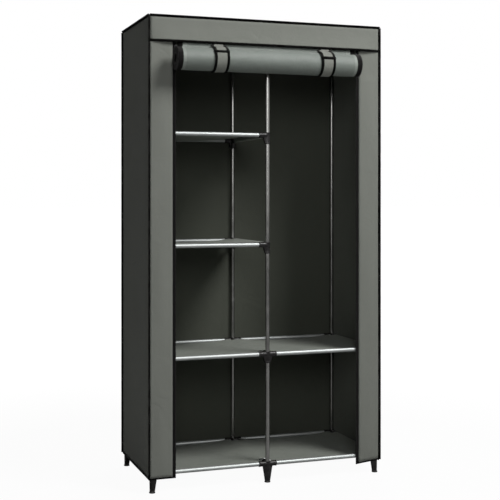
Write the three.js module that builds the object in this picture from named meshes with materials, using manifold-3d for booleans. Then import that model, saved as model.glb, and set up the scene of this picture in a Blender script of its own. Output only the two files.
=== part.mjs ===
// Portable fabric wardrobe: a frame of steel tubes and moulded plastic joints, cloth shelves
// sleeved on the tubes, and one stitched cloth cover whose door is rolled up and strapped
// under the lintel. Millimetres, +Z up, the open front faces -Y.
import * as THREE from 'three';
import { mergeVertices } from 'three/addons/utils/BufferGeometryUtils.js';
import Module from 'manifold-3d';

const wasm = await Module();
wasm.setup();

// Overall sizes
const wardrobeWidth = 900;
const wardrobeDepth = 431;
const wardrobeHeight = 1700;

// Fits
const seatGap = 0.3;
const cutOverrun = 2;

// Round steel tube
const tubeRadius = 8;
const tubeWall = 0.8;
const roundSides = 12;

// Moulded joint, measured from the axis of its post
const socketWall = 2.2;
const armReach = 35;
const gussetReach = 17.5;
const gussetThickness = 14;
const gussetDrop = 33;
const footFlangeRadius = 11.3;
const footFlangeHeight = 3;
const footNeckRadius = 10;
const footCoreRadius = 5;
const footFloorThickness = 30;

// Levels of the frame
const baseLevel = 69;
const levelNames = ['base', 'lower', 'middle', 'upper', 'top'];

// Cloth cover
const clothThickness = 1.2;
const hemHeight = 52;
const hemDroop = 9;
const lintelDrop = 89;
const hemRibHeight = 4;
const hemRibDepth = 4.2;
const stripWidth = 96;
const zipTapeWidth = 15;
const wallSag = 7;
const stripBulge = 3.5;
const stripWaveLength = 620;
const foldMargin = 6;

// Rolled door
const rollRadius = 45.5;
const rollTurns = 8;
const rollStepsPerTurn = 16;
const rollDrop = 67;
const rollStandoff = 11.5;
const rollShift = 6;
const doorStandoff = 0.9;
const doorTailInset = 24;

// Roll straps
const strapWidth = 55;
const strapSpacing = 409;
const strapThickness = 1.2;
const strapSteps = 24;
const strapFrontOffset = 3.4;
const strapTabDrop = 2.5;

// Zip sliders
const sliderLength = 14;
const sliderHalfWidth = 5;
const sliderPlate = 1.2;
const sliderCornerRadius = 2.6;
const sliderWeb = 1.4;
const sliderTopGap = 12;
const pullWidth = 6;
const pullLength = 22;
const pullThickness = 1.2;
const pullCornerRadius = 2.4;
const cornerSegments = 3;
const pullBridge = 1.4;
const pullBridgeLength = 5;

// Cloth shelves
const shelfSag = 12;
const shelfSteps = 6;
const shelfEdgeGap = 1.5;
const shelfNotchGap = 1;

// Hanging rod
const rodHookWall = 1.6;
const rodHookWidth = 16;
const rodHookLip = 4;
const rodSocketWall = 2.2;
const rodSocketReach = 34;
const rodCoreRadius = 5;

// Sizes that follow from the ones above
const boreRadius = tubeRadius + seatGap;
const jointRadius = boreRadius + socketWall;
const postInset = clothThickness + seatGap + jointRadius;
const postOffset = wardrobeWidth / 2 - postInset;
const backPostY = wardrobeDepth - postInset;
const topLevel = wardrobeHeight - clothThickness - seatGap - jointRadius;
const levelStep = (topLevel - baseLevel) / (levelNames.length - 1);
const levels = levelNames.map((name, index) => baseLevel + index * levelStep);
const tubeEnd = jointRadius + seatGap;
const lintelHem = wardrobeHeight - lintelDrop;
const openingHalfWidth = wardrobeWidth / 2 - stripWidth;
const doorWidth = 2 * openingHalfWidth;
const doorLength = lintelHem - hemHeight;
const rollY = -(rollStandoff + rollRadius);
const rollZ = lintelHem - rollDrop;
const strapInnerRadius = (rollRadius + seatGap) / Math.cos(Math.PI / strapSteps);
const strapOuterRadius = strapInnerRadius + strapThickness;
const frontReach = strapOuterRadius - rollY;
const originY = (wardrobeDepth - frontReach) / 2;

// Finishes
const steel = () => new THREE.MeshStandardMaterial({ color: 0xb9bcc0, roughness: 0.35, metalness: 0.9 });
const plastic = () => new THREE.MeshStandardMaterial({ color: 0x2b2728, roughness: 0.6, metalness: 0 });
const cloth = () => new THREE.MeshStandardMaterial({ color: 0x7c8178, roughness: 0.95, metalness: 0 });
const tape = () => new THREE.MeshStandardMaterial({ color: 0x141513, roughness: 0.9, metalness: 0 });

// Closed geometry to solid, and back
function solid(geometry) {
  const bare = geometry.clone();
  bare.deleteAttribute('normal');
  bare.deleteAttribute('uv');
  const merged = mergeVertices(bare);
  return new wasm.Manifold(new wasm.Mesh({
    numProp: 3,
    vertProperties: new Float32Array(merged.attributes.position.array),
    triVerts: new Uint32Array(merged.index.array),
  }));
}

function geometryOf(body) {
  const mesh = body.getMesh();
  const geometry = new THREE.BufferGeometry();
  geometry.setAttribute('position', new THREE.BufferAttribute(mesh.vertProperties, 3));
  geometry.setIndex(new THREE.BufferAttribute(mesh.triVerts, 1));
  const faceted = geometry.toNonIndexed();
  faceted.computeVertexNormals();
  return faceted;
}

const join = (bodies) => bodies.reduce((whole, body) => whole.add(body));
const cut = (body, tools) => tools.reduce((rest, tool) => rest.subtract(tool), body);

// Round bar from one distance to another along an axis
function bar(axis, radius, from, to) {
  const geometry = new THREE.CylinderGeometry(radius, radius, to - from, roundSides);
  geometry.translate(0, (from + to) / 2, 0);
  if (axis === 'x') geometry.rotateZ(-Math.PI / 2);
  if (axis === 'z') geometry.rotateX(Math.PI / 2);
  return solid(geometry);
}

const tube = (axis, length) =>
  bar(axis, tubeRadius, 0, length)
    .subtract(bar(axis, tubeRadius - tubeWall, -cutOverrun, length + cutOverrun));

function block(low, high) {
  const geometry = new THREE.BoxGeometry(high[0] - low[0], high[1] - low[1], high[2] - low[2]);
  geometry.translate((low[0] + high[0]) / 2, (low[1] + high[1]) / 2, (low[2] + high[2]) / 2);
  return solid(geometry);
}

// Plate with rounded corners that faces the front, from one side and height to another
function roundedPlate([left, low], [right, high], y, thickness, radius) {
  const outline = new THREE.Shape();
  outline.absarc(right - radius, high - radius, radius, 0, Math.PI / 2);
  outline.absarc(left + radius, high - radius, radius, Math.PI / 2, Math.PI);
  outline.absarc(left + radius, low + radius, radius, Math.PI, 1.5 * Math.PI);
  outline.absarc(right - radius, low + radius, radius, 1.5 * Math.PI, 2 * Math.PI);
  const geometry = new THREE.ExtrudeGeometry(outline, {
    depth: thickness,
    bevelEnabled: false,
    curveSegments: cornerSegments,
  });
  geometry.rotateX(Math.PI / 2);
  geometry.translate(0, y + thickness, 0);
  return solid(geometry);
}

// Flat outline in Y and Z, extruded along X between two places
function extrudeAlongX(shape, from, to) {
  const geometry = new THREE.ExtrudeGeometry(shape, { depth: to - from, bevelEnabled: false });
  geometry.rotateX(Math.PI / 2);
  geometry.rotateZ(Math.PI / 2);
  geometry.translate(from, 0, 0);
  return solid(geometry);
}

// Outline of a strip of even thickness that follows a line, mitred at its bends
function ribbonShape(line, thickness) {
  const sides = [[], []];
  line.forEach((point, index) => {
    const before = line[Math.max(index - 1, 0)];
    const after = line[Math.min(index + 1, line.length - 1)];
    const arriving = point.clone().sub(before).normalize();
    const leaving = after.clone().sub(point).normalize();
    const along = arriving.clone().add(leaving).normalize();
    const turn = Math.max(arriving.lengthSq() ? along.dot(arriving) : 1, along.dot(leaving));
    const across = new THREE.Vector2(-along.y, along.x).multiplyScalar(thickness / 2 / turn);
    sides[0].push(point.clone().add(across));
    sides[1].unshift(point.clone().sub(across));
  });
  return new THREE.Shape([...sides[0], ...sides[1]]);
}

// Moulded joint: round hub, an arm and a gusset for each tube that it takes
const armTurns = { right: 0, back: Math.PI / 2, left: Math.PI, front: -Math.PI / 2 };

function turned(body, direction) {
  return body.rotate([0, 0, THREE.MathUtils.radToDeg(armTurns[direction])]);
}

function gusset(kind) {
  const foot = kind === 'foot';
  const drop = foot ? baseLevel - footFlangeHeight : gussetDrop;
  const outline = new THREE.Shape();
  outline.moveTo(0, 0);
  outline.lineTo(gussetReach, 0);
  outline.lineTo(gussetReach, -jointRadius);
  outline.lineTo(foot ? footNeckRadius : jointRadius, -drop);
  outline.lineTo(0, -drop);
  const geometry = new THREE.ExtrudeGeometry(outline, { depth: gussetThickness, bevelEnabled: false });
  geometry.translate(0, 0, -gussetThickness / 2);
  geometry.rotateX(Math.PI / 2);
  return solid(geometry);
}

function hub(kind) {
  if (kind !== 'foot') return bar('z', jointRadius, -gussetDrop, jointRadius);
  const profile = [
    [0, -baseLevel],
    [footFlangeRadius, -baseLevel],
    [footFlangeRadius, footFlangeHeight - baseLevel],
    [footNeckRadius, 2 * footFlangeHeight - baseLevel],
    [jointRadius, -gussetDrop],
    [jointRadius, jointRadius],
    [0, jointRadius],
  ].map(([radius, z]) => new THREE.Vector2(radius, z));
  const geometry = new THREE.LatheGeometry(profile, roundSides);
  geometry.rotateX(Math.PI / 2);
  return solid(geometry);
}

function jointBody(kind, arms) {
  const parts = arms.flatMap((direction) => [
    turned(bar('x', jointRadius, 0, armReach), direction),
    turned(gusset(kind), direction),
  ]);
  return join([hub(kind), ...parts]);
}

const jointSockets = (arms) =>
  arms.map((direction) => turned(bar('x', boreRadius, jointRadius, armReach + cutOverrun), direction));

const footCore = () => bar('z', footCoreRadius, -baseLevel - cutOverrun, footFloorThickness - baseLevel + cutOverrun);

function postBore(kind) {
  if (kind === 'foot') return bar('z', boreRadius, footFloorThickness - baseLevel, jointRadius + cutOverrun);
  const end = kind === 'top' ? boreRadius : jointRadius + cutOverrun;
  return bar('z', boreRadius, -gussetDrop - cutOverrun, end);
}

const jointKind = (level) => ({ base: 'foot', top: 'top' })[levelNames[level]] ?? 'through';

const jointShapes = new Map();
function jointGeometry(kind, arms) {
  const key = [kind, ...arms].join(' ');
  if (!jointShapes.has(key)) {
    const tools = [...jointSockets(arms), postBore(kind)];
    if (kind === 'foot') tools.push(footCore());
    jointShapes.set(key, geometryOf(cut(jointBody(kind, arms), tools)));
  }
  return jointShapes.get(key);
}

// Scene graph: everything hangs from one group whose origin is the middle of the footprint
const wardrobe = new THREE.Group();
const frame = new THREE.Group();
const covering = new THREE.Group();
frame.position.y = -originY;
covering.position.y = -originY;
wardrobe.add(frame, covering);

function place(parent, name, geometry, material, x = 0, y = 0, z = 0) {
  const mesh = new THREE.Mesh(geometry, material);
  mesh.name = name;
  mesh.position.set(x, y, z);
  parent.add(mesh);
  return mesh;
}

// Posts stand in three places across, each with a front and a back row
const stations = [
  { name: 'left', x: -postOffset, levels: [0, 1, 2, 3, 4], across: ['right'] },
  { name: 'centre', x: 0, levels: [0, 1, 2, 3, 4], across: ['left', 'right'] },
  { name: 'right', x: postOffset, levels: [0, 1, 4], across: ['left'] },
];

// The centre post takes a tube on its right only where the right station has a joint too
function armsAt(station, level, inward) {
  const open = stations[2].levels.includes(level);
  return [...station.across.filter((side) => open || station.name !== 'centre' || side === 'left'), inward];
}

const postFoot = footFloorThickness + seatGap;
const postLength = topLevel + tubeRadius - postFoot;
const postGeometry = geometryOf(tube('z', postLength));

function backPostGeometry(station) {
  const joints = station.levels.map((level) => ({
    z: levels[level],
    kind: jointKind(level),
    arms: armsAt(station, level, 'front'),
  }));
  const bodies = joints.map(({ z, kind, arms }) => jointBody(kind, arms).translate([0, 0, z]));
  const sockets = joints.flatMap(({ z, arms }) => jointSockets(arms).map((tool) => tool.translate([0, 0, z])));
  const whole = join([bar('z', tubeRadius, postFoot, topLevel), ...bodies]);
  const hollow = bar('z', tubeRadius - tubeWall, postFoot, topLevel);
  return geometryOf(cut(whole, [...sockets, hollow, footCore().translate([0, 0, baseLevel])]));
}

for (const station of stations) {
  const front = new THREE.Group();
  front.position.set(station.x, postInset, 0);
  frame.add(front);
  place(front, `front_${station.name}_post`, postGeometry, steel(), 0, 0, postFoot);
  for (const level of station.levels) {
    const shape = jointGeometry(jointKind(level), armsAt(station, level, 'back'));
    place(front, `front_${station.name}_${levelNames[level]}_joint`, shape, plastic(), 0, 0, levels[level]);
  }
  place(frame, `back_${station.name}_post`, backPostGeometry(station), steel(), station.x, backPostY);
}

// Level tubes: rungs run from front to back, rails from post to post
const rungGeometry = geometryOf(tube('y', backPostY - postInset - 2 * tubeEnd));
const railGeometry = geometryOf(tube('x', postOffset - 2 * tubeEnd));
const bays = [
  { name: 'left', x: stations[0].x, levels: stations[0].levels },
  { name: 'right', x: stations[1].x, levels: stations[2].levels },
];

for (const station of stations) {
  for (const level of station.levels) {
    const name = `${station.name}_${levelNames[level]}_rung`;
    place(frame, name, rungGeometry, steel(), station.x, postInset + tubeEnd, levels[level]);
  }
}
for (const [row, y] of [['front', postInset], ['back', backPostY]]) {
  for (const bay of bays) {
    for (const level of bay.levels) {
      const name = `${row}_${bay.name}_${levelNames[level]}_rail`;
      place(frame, name, railGeometry, steel(), bay.x + tubeEnd, y, levels[level]);
    }
  }
}

// Cloth shelf: one sheet that sags between sleeves stitched round the rungs
function shelfGeometry(rungPlaces) {
  const sleeveRadius = boreRadius + clothThickness;
  const sheetFront = postInset + jointRadius + shelfEdgeGap;
  const sheetBack = wardrobeDepth - sheetFront;
  const notchDepth = postInset + armReach + shelfNotchGap;
  const notchHalfWidth = jointRadius + shelfNotchGap;
  const lineHeight = boreRadius + clothThickness / 2;
  const line = [new THREE.Vector2(rungPlaces[0], lineHeight)];
  for (let span = 1; span < rungPlaces.length; span += 1) {
    const start = rungPlaces[span - 1];
    const width = rungPlaces[span] - start;
    for (let step = 1; step <= shelfSteps; step += 1) {
      const share = step / shelfSteps;
      const sag = 4 * shelfSag * share * (1 - share);
      line.push(new THREE.Vector2(start + share * width, lineHeight - sag));
    }
  }
  const sheet = new THREE.ExtrudeGeometry(ribbonShape(line, clothThickness), {
    depth: sheetBack - sheetFront,
    bevelEnabled: false,
  });
  sheet.rotateX(Math.PI / 2);
  sheet.translate(0, sheetBack, 0);
  const sleeves = rungPlaces.map((x) => bar('y', sleeveRadius, sheetFront, sheetBack).translate([x, 0, 0]));
  const bores = rungPlaces.map((x) => bar('y', boreRadius, 0, wardrobeDepth).translate([x, 0, 0]));
  const notches = rungPlaces.flatMap((x) => [
    block([x - notchHalfWidth, 0, -armReach], [x + notchHalfWidth, notchDepth, armReach]),
    block(
      [x - notchHalfWidth, wardrobeDepth - notchDepth, -armReach],
      [x + notchHalfWidth, wardrobeDepth, armReach],
    ),
  ]);
  return geometryOf(cut(join([solid(sheet), ...sleeves]), [...bores, ...notches]));
}

const wideShelf = shelfGeometry([-postOffset, 0, postOffset]);
const narrowShelf = shelfGeometry([-postOffset, 0]);
for (const level of stations[1].levels.slice(0, -1)) {
  const shape = stations[2].levels.includes(level) ? wideShelf : narrowShelf;
  place(frame, `${levelNames[level]}_shelf`, shape, cloth(), 0, 0, levels[level]);
}

// Hanging rod: a tube whose moulded ends hook over the two top rungs of the right bay
function rodGeometry() {
  const hookRadius = boreRadius + rodHookWall;
  const socketRadius = tubeRadius + rodSocketWall;
  const hook = cut(bar('y', hookRadius, -rodHookWidth / 2, rodHookWidth / 2), [
    block([-hookRadius - cutOverrun, -rodHookWidth, -hookRadius - cutOverrun], [0, rodHookWidth, -rodHookLip]),
  ]);
  const end = join([hook, bar('x', socketRadius, 0, rodSocketReach)]);
  const ends = join([end, end.rotate([0, 0, 180]).translate([postOffset, 0, 0])]);
  const shaft = bar('x', tubeRadius, rodSocketReach - cutOverrun, postOffset - rodSocketReach + cutOverrun);
  const hollow = bar('x', tubeRadius - tubeWall, hookRadius, postOffset - hookRadius);
  const core = bar('x', rodCoreRadius, 0, postOffset);
  const seats = [0, postOffset].map((x) => bar('y', boreRadius, -armReach, armReach).translate([x, 0, 0]));
  const mouthWidth = 2 * boreRadius;
  const mouths = [0, postOffset].map((x) =>
    block([x - mouthWidth / 2, -armReach, -armReach], [x + mouthWidth / 2, armReach, 0]));
  return geometryOf(cut(join([ends, shaft]), [hollow, core, ...seats, ...mouths]));
}
place(frame, 'hanging_rod', rodGeometry(), steel(), 0, wardrobeDepth / 2, topLevel);

// Cover: walls follow the plan from one side of the door round the back to the other side
const bumpOf = (share) => Math.sin(Math.PI * THREE.MathUtils.clamp(share, 0, 1)) ** 2;
const foldShares = [0.25, 0.5, 0.75];
const rowShares = [1 / 3, 2 / 3];

function coverPlan() {
  const half = wardrobeWidth / 2;
  const clear = postInset + armReach + foldMargin;
  const points = [];
  const put = (x, y, inX, inY, sag, bulge) => points.push({ x, y, inX, inY, sag, bulge });
  const strip = (side) => [
    [openingHalfWidth, 0],
    [openingHalfWidth + zipTapeWidth, 0],
    ...foldShares.map((share) => [
      openingHalfWidth + zipTapeWidth + share * (stripWidth - zipTapeWidth),
      bumpOf(share),
    ]),
  ].map(([x, bulge]) => [side * x, bulge]);
  const run = (length) => [
    [clear, 0],
    ...foldShares.map((share) => [clear + share * (length - 2 * clear), bumpOf(share)]),
    [length - clear, 0],
  ];
  for (const [x, bulge] of strip(-1)) put(x, 0, 0, 1, 0, bulge);
  put(-half, 0, 1, 1, 0, 0);
  for (const [along, sag] of run(wardrobeDepth)) put(-half, along, 1, 0, sag, 0);
  put(-half, wardrobeDepth, 1, -1, 0, 0);
  for (const [along, sag] of run(half)) put(along - half, wardrobeDepth, 0, -1, sag, 0);
  put(0, wardrobeDepth, 0, -1, 0, 0);
  for (const [along, sag] of run(half)) put(along, wardrobeDepth, 0, -1, sag, 0);
  put(half, wardrobeDepth, -1, -1, 0, 0);
  for (const [along, sag] of run(wardrobeDepth)) put(half, wardrobeDepth - along, -1, 0, sag, 0);
  put(half, 0, -1, 1, 0, 0);
  for (const [x, bulge] of strip(1).reverse()) put(x, 0, 0, 1, 0, bulge);
  return points;
}

function coverRows() {
  const rows = [{ z: hemHeight, sag: 0 }];
  levels.slice(0, -1).forEach((level) => {
    rows.push({ z: level, sag: 0 });
    for (const share of rowShares) rows.push({ z: level + share * levelStep, sag: bumpOf(share) });
  });
  rows.push({ z: topLevel, sag: 0 }, { z: wardrobeHeight, sag: 0 });
  return rows;
}

function wallsGeometry() {
  const plan = coverPlan();
  const rows = coverRows();
  const positions = [];
  const faces = [];
  const wave = (z) => (1 + Math.sin((2 * Math.PI * z) / stripWaveLength)) / 2;
  for (const depth of [0, clothThickness]) {
    for (const row of rows) {
      for (const point of plan) {
        const near = row.z < lintelHem - levelStep / 4 && row.z > baseLevel;
        const fold = wallSag * point.sag * row.sag - (near ? stripBulge * point.bulge * wave(row.z) : 0);
        const beside = Math.max(0, point.x - openingHalfWidth) / stripWidth;
        const onStrip = point.y === 0 && point.x > 0 && row.z === hemHeight;
        const droop = onStrip ? hemDroop * (1 - beside) : 0;
        positions.push(
          point.x + point.inX * (depth + fold),
          point.y + point.inY * (depth + fold),
          row.z - droop,
        );
      }
    }
  }
  const columns = plan.length;
  const layer = columns * rows.length;
  const at = (side, row, column) => side * layer + row * columns + column;
  const quad = (a, b, c, d) => faces.push(a, b, c, a, c, d);
  for (let row = 0; row + 1 < rows.length; row += 1) {
    for (let column = 0; column + 1 < columns; column += 1) {
      quad(at(0, row, column), at(0, row + 1, column), at(0, row + 1, column + 1), at(0, row, column + 1));
      quad(at(1, row, column), at(1, row, column + 1), at(1, row + 1, column + 1), at(1, row + 1, column));
    }
  }
  for (let column = 0; column + 1 < columns; column += 1) {
    const top = rows.length - 1;
    quad(at(0, 0, column), at(0, 0, column + 1), at(1, 0, column + 1), at(1, 0, column));
    quad(at(0, top, column), at(1, top, column), at(1, top, column + 1), at(0, top, column + 1));
  }
  for (let row = 0; row + 1 < rows.length; row += 1) {
    const last = columns - 1;
    quad(at(0, row, 0), at(1, row, 0), at(1, row + 1, 0), at(0, row + 1, 0));
    quad(at(0, row, last), at(0, row + 1, last), at(1, row + 1, last), at(1, row, last));
  }
  const geometry = new THREE.BufferGeometry();
  geometry.setAttribute('position', new THREE.Float32BufferAttribute(positions, 3));
  geometry.setIndex(faces);
  return geometry;
}

function coverGeometry() {
  const half = wardrobeWidth / 2;
  const roof = block([-half, 0, wardrobeHeight - clothThickness], [half, wardrobeDepth, wardrobeHeight]);
  const lintel = block([-half, 0, lintelHem], [half, clothThickness, wardrobeHeight]);
  const hemRib = block([-half, -hemRibDepth, lintelHem], [half, clothThickness, lintelHem + hemRibHeight]);
  return geometryOf(join([solid(wallsGeometry()), roof, lintel, hemRib]));
}
place(covering, 'cover', coverGeometry(), cloth());

// Points where lines from a place touch a circle: over its far side, or down its near side
function tangentAngle(from, radius, over) {
  const away = from.clone().sub(new THREE.Vector2(rollY, rollZ));
  const spread = Math.acos(radius / away.length());
  return Math.atan2(away.y, away.x) + (over ? spread : -spread);
}

const onRoll = (radius, angle) =>
  new THREE.Vector2(rollY + radius * Math.cos(angle), rollZ + radius * Math.sin(angle));

// A place past the lintel hem on the line that runs from a tangent point to the hem
function pastHem(touch, hemPoint) {
  const direction = hemPoint.clone().sub(touch).normalize();
  return hemPoint.clone().addScaledVector(direction, cutOverrun);
}

const aboveHem = () =>
  block(
    [-wardrobeWidth / 2, -frontReach, lintelHem - seatGap],
    [wardrobeWidth / 2, wardrobeDepth, wardrobeHeight],
  );

// Door rolled up: the sheet leaves the lintel hem, passes behind the roll and winds inward
function rolledDoorGeometry() {
  const hemPoint = new THREE.Vector2(-doorStandoff, lintelHem - seatGap);
  const outerRadius = rollRadius - clothThickness / 2;
  const start = tangentAngle(hemPoint, outerRadius, false);
  const touch = onRoll(outerRadius, start);
  const woundLength = doorLength - touch.distanceTo(hemPoint);
  const meanRadius = woundLength / (2 * Math.PI * rollTurns);
  const pitch = (2 * (outerRadius - meanRadius)) / rollTurns;
  const line = [pastHem(touch, hemPoint)];
  for (let step = 0; step <= rollTurns * rollStepsPerTurn; step += 1) {
    const turns = step / rollStepsPerTurn;
    line.push(onRoll(outerRadius - pitch * turns, start - 2 * Math.PI * turns));
  }
  const from = -doorWidth / 2 - rollShift;
  const whole = extrudeAlongX(ribbonShape(line, clothThickness), from, from + doorWidth);
  const tailHalfWidth = openingHalfWidth - doorTailInset;
  const sides = [-1, 1].map((side) => {
    const edges = [side * tailHalfWidth, side * wardrobeWidth].sort((a, b) => a - b);
    return block([edges[0], -rollStandoff, rollZ], [edges[1], wardrobeDepth, wardrobeHeight]);
  });
  return geometryOf(cut(whole, [...sides, aboveHem()]));
}
place(covering, 'door_roll', rolledDoorGeometry(), cloth());

// Strap: leaves the hem in front of the door sheet, goes round the roll and up behind it
function strapGeometry() {
  const radius = strapInnerRadius + strapThickness / 2;
  const frontHem = new THREE.Vector2(-strapFrontOffset, lintelHem - seatGap);
  const frontBend = new THREE.Vector2(-strapFrontOffset, lintelHem - seatGap - strapTabDrop);
  const backHem = new THREE.Vector2(clothThickness / 2, lintelHem - seatGap);
  const first = tangentAngle(frontBend, radius, true);
  const last = tangentAngle(backHem, radius, false) + 2 * Math.PI;
  const line = [frontHem.clone().setY(frontHem.y + cutOverrun), frontBend];
  const arc = (from, to) => {
    const steps = Math.ceil(((to - from) * strapSteps) / (2 * Math.PI));
    for (let step = 0; step <= steps; step += 1) {
      line.push(onRoll(radius, from + ((to - from) * step) / steps));
    }
  };
  arc(first, Math.PI);
  line.pop();
  arc(Math.PI, last);
  line.push(pastHem(onRoll(radius, last), backHem));
  const strip = extrudeAlongX(ribbonShape(line, strapThickness), -strapWidth / 2, strapWidth / 2);
  return geometryOf(cut(strip, [aboveHem()]));
}

// Zip slider: two plates on a web that grips the tape at the side of the opening
function sliderGeometry(side) {
  const edge = side * openingHalfWidth;
  const half = sliderLength / 2;
  const frontPlate = -seatGap - sliderPlate;
  const backPlate = clothThickness + seatGap;
  const bridgeFront = frontPlate - pullBridge;
  const webEdges = [seatGap, seatGap + sliderWeb].map((inward) => edge - side * inward).sort((a, b) => a - b);
  const low = [edge - sliderHalfWidth, -half];
  const high = [edge + sliderHalfWidth, half];
  const plates = [frontPlate, backPlate].map((y) => roundedPlate(low, high, y, sliderPlate, sliderCornerRadius));
  const web = block([webEdges[0], frontPlate, -half], [webEdges[1], backPlate + sliderPlate, half]);
  const bridge = block(
    [edge - pullWidth / 2, bridgeFront - pullThickness, half - pullBridgeLength],
    [edge + pullWidth / 2, frontPlate + sliderPlate / 2, half],
  );
  const pull = roundedPlate(
    [edge - pullWidth / 2, half - pullLength],
    [edge + pullWidth / 2, half],
    bridgeFront - pullThickness,
    pullThickness,
    pullCornerRadius,
  );
  return geometryOf(join([...plates, web, bridge, pull]));
}

const sliderZ = lintelHem - sliderTopGap - sliderLength / 2;
for (const [name, side] of [['left', -1], ['right', 1]]) {
  place(covering, `roll_strap_${name}`, strapGeometry(), cloth(), (side * strapSpacing) / 2);
  place(covering, `zip_slider_${name}`, sliderGeometry(side), tape(), 0, 0, sliderZ);
}

export default wardrobe;
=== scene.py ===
import math

import bmesh
import bpy
from mathutils import Matrix, Vector, noise
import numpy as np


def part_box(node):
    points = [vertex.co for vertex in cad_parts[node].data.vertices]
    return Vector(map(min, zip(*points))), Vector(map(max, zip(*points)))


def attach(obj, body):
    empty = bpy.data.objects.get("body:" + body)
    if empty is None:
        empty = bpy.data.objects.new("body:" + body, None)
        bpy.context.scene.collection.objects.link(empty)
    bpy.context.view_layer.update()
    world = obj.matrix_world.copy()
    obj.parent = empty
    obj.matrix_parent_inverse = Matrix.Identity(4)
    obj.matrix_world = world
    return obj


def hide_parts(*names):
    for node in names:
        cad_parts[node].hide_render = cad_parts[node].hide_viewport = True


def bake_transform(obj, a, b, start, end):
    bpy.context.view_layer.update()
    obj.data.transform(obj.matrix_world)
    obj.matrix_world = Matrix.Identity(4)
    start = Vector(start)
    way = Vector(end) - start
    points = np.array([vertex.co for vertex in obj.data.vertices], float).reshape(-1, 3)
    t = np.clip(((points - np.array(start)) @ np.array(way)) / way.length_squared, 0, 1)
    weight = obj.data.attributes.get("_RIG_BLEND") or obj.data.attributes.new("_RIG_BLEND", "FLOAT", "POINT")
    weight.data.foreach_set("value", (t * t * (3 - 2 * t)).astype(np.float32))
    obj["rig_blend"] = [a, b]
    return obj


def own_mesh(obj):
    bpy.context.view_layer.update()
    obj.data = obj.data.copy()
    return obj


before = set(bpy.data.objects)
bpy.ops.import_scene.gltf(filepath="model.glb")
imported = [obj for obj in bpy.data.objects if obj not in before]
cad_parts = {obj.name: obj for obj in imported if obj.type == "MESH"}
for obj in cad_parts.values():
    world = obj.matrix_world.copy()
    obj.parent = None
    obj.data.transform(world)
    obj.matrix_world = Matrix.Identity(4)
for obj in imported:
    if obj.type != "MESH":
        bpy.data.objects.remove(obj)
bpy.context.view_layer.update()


# Moulded joints: black polypropylene, one moulding each. A sleeve takes the post, a socket takes
# every tube that leaves it, and a tapered web stiffens each socket from below. The lowest joints
# run down into feet. Everything is pushed together dry and holds by friction.
def add_node(tree, kind, inputs=(), **settings):
    made = tree.nodes.new("ShaderNode" + kind)
    for name, value in settings.items():
        setattr(made, name, value)
    for socket, value in dict(inputs).items():
        if isinstance(value, bpy.types.NodeSocket):
            tree.links.new(value, made.inputs[socket])
        else:
            made.inputs[socket].default_value = value
    return made


def reckon(tree, operation, first, second=0.0):
    return add_node(tree, "Math", {0: first, 1: second}, operation=operation).outputs[0]


def multiply(tree, product, *factors):
    for factor in factors:
        product = reckon(tree, "MULTIPLY", product, factor)
    return product


def fade(tree, value, low, high, start=0.0, end=1.0):
    inputs = {"Value": value, "From Min": low, "From Max": high, "To Min": start, "To Max": end}
    return add_node(tree, "MapRange", inputs).outputs[0]


def mix_colours(tree, share, first, second):
    return add_node(tree, "Mix", {0: share, 6: first, 7: second}, data_type="RGBA").outputs[2]


def cloudy(tree, place, scale, detail, stretch=(1, 1, 1)):
    spread = add_node(tree, "Mapping", {"Vector": place, "Scale": stretch}).outputs[0]
    inputs = {"Vector": spread, "Scale": scale, "Detail": detail}
    return add_node(tree, "TexNoise", inputs).outputs[0]


def object_place(tree):
    return add_node(tree, "TexCoord").outputs["Object"]


def shader_group(name, inputs, outputs):
    group = bpy.data.node_groups.new(name, "ShaderNodeTree")
    for label, kind, value in inputs:
        socket = group.interface.new_socket(label, in_out="INPUT", socket_type="NodeSocket" + kind)
        socket.default_value = value
    for label, kind in outputs:
        group.interface.new_socket(label, in_out="OUTPUT", socket_type="NodeSocket" + kind)
    given = group.nodes.new("NodeGroupInput").outputs
    result = group.nodes.new("NodeGroupOutput").inputs
    return group, given, result


def give_out(group, result, values):
    for label, value in values.items():
        group.links.new(value, result[label])


def use_group(tree, group, **inputs):
    return add_node(tree, "Group", inputs, node_tree=group).outputs


def start_finish(name):
    finish = bpy.data.materials.new(name)
    finish.use_nodes = True
    finish.node_tree.nodes.clear()
    return finish, finish.node_tree


def coat(tree, relief, inputs):
    """Ends a finish: relief goes to its Bump node, inputs to its shader."""
    bump = add_node(tree, "Bump", relief)
    shader = add_node(tree, "BsdfPrincipled", {**inputs, "Normal": bump.outputs[0]})
    tree.links.new(shader.outputs[0], add_node(tree, "OutputMaterial").inputs["Surface"])


def layer_group(name, layer, where, patch_scale, patch_low, patch_high):
    """A second colour that lies in broken patches on the places that where picks out."""
    group, given, result = shader_group(
        name,
        [("Colour", "Color", (0.5, 0.5, 0.5, 1)), (layer, "Color", (0.6, 0.6, 0.6, 1)),
         ("Amount", "Float", 0.5)],
        [("Colour", "Color"), ("Mask", "Float")],
    )
    clouds = cloudy(group, object_place(group), patch_scale, 4.0)
    mask = multiply(group, where(group), fade(group, clouds, patch_low, patch_high), given["Amount"])
    colour = mix_colours(group, mask, given["Colour"], given[layer])
    give_out(group, result, {"Colour": colour, "Mask": mask})
    return group


def facing_up(tree):
    normal = add_node(tree, "NewGeometry").outputs["Normal"]
    return fade(tree, add_node(tree, "SeparateXYZ", {0: normal}).outputs[2], 0.35, 0.95)


def on_edges(tree):
    return fade(tree, add_node(tree, "NewGeometry").outputs["Pointiness"], 0.515, 0.58)


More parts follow.
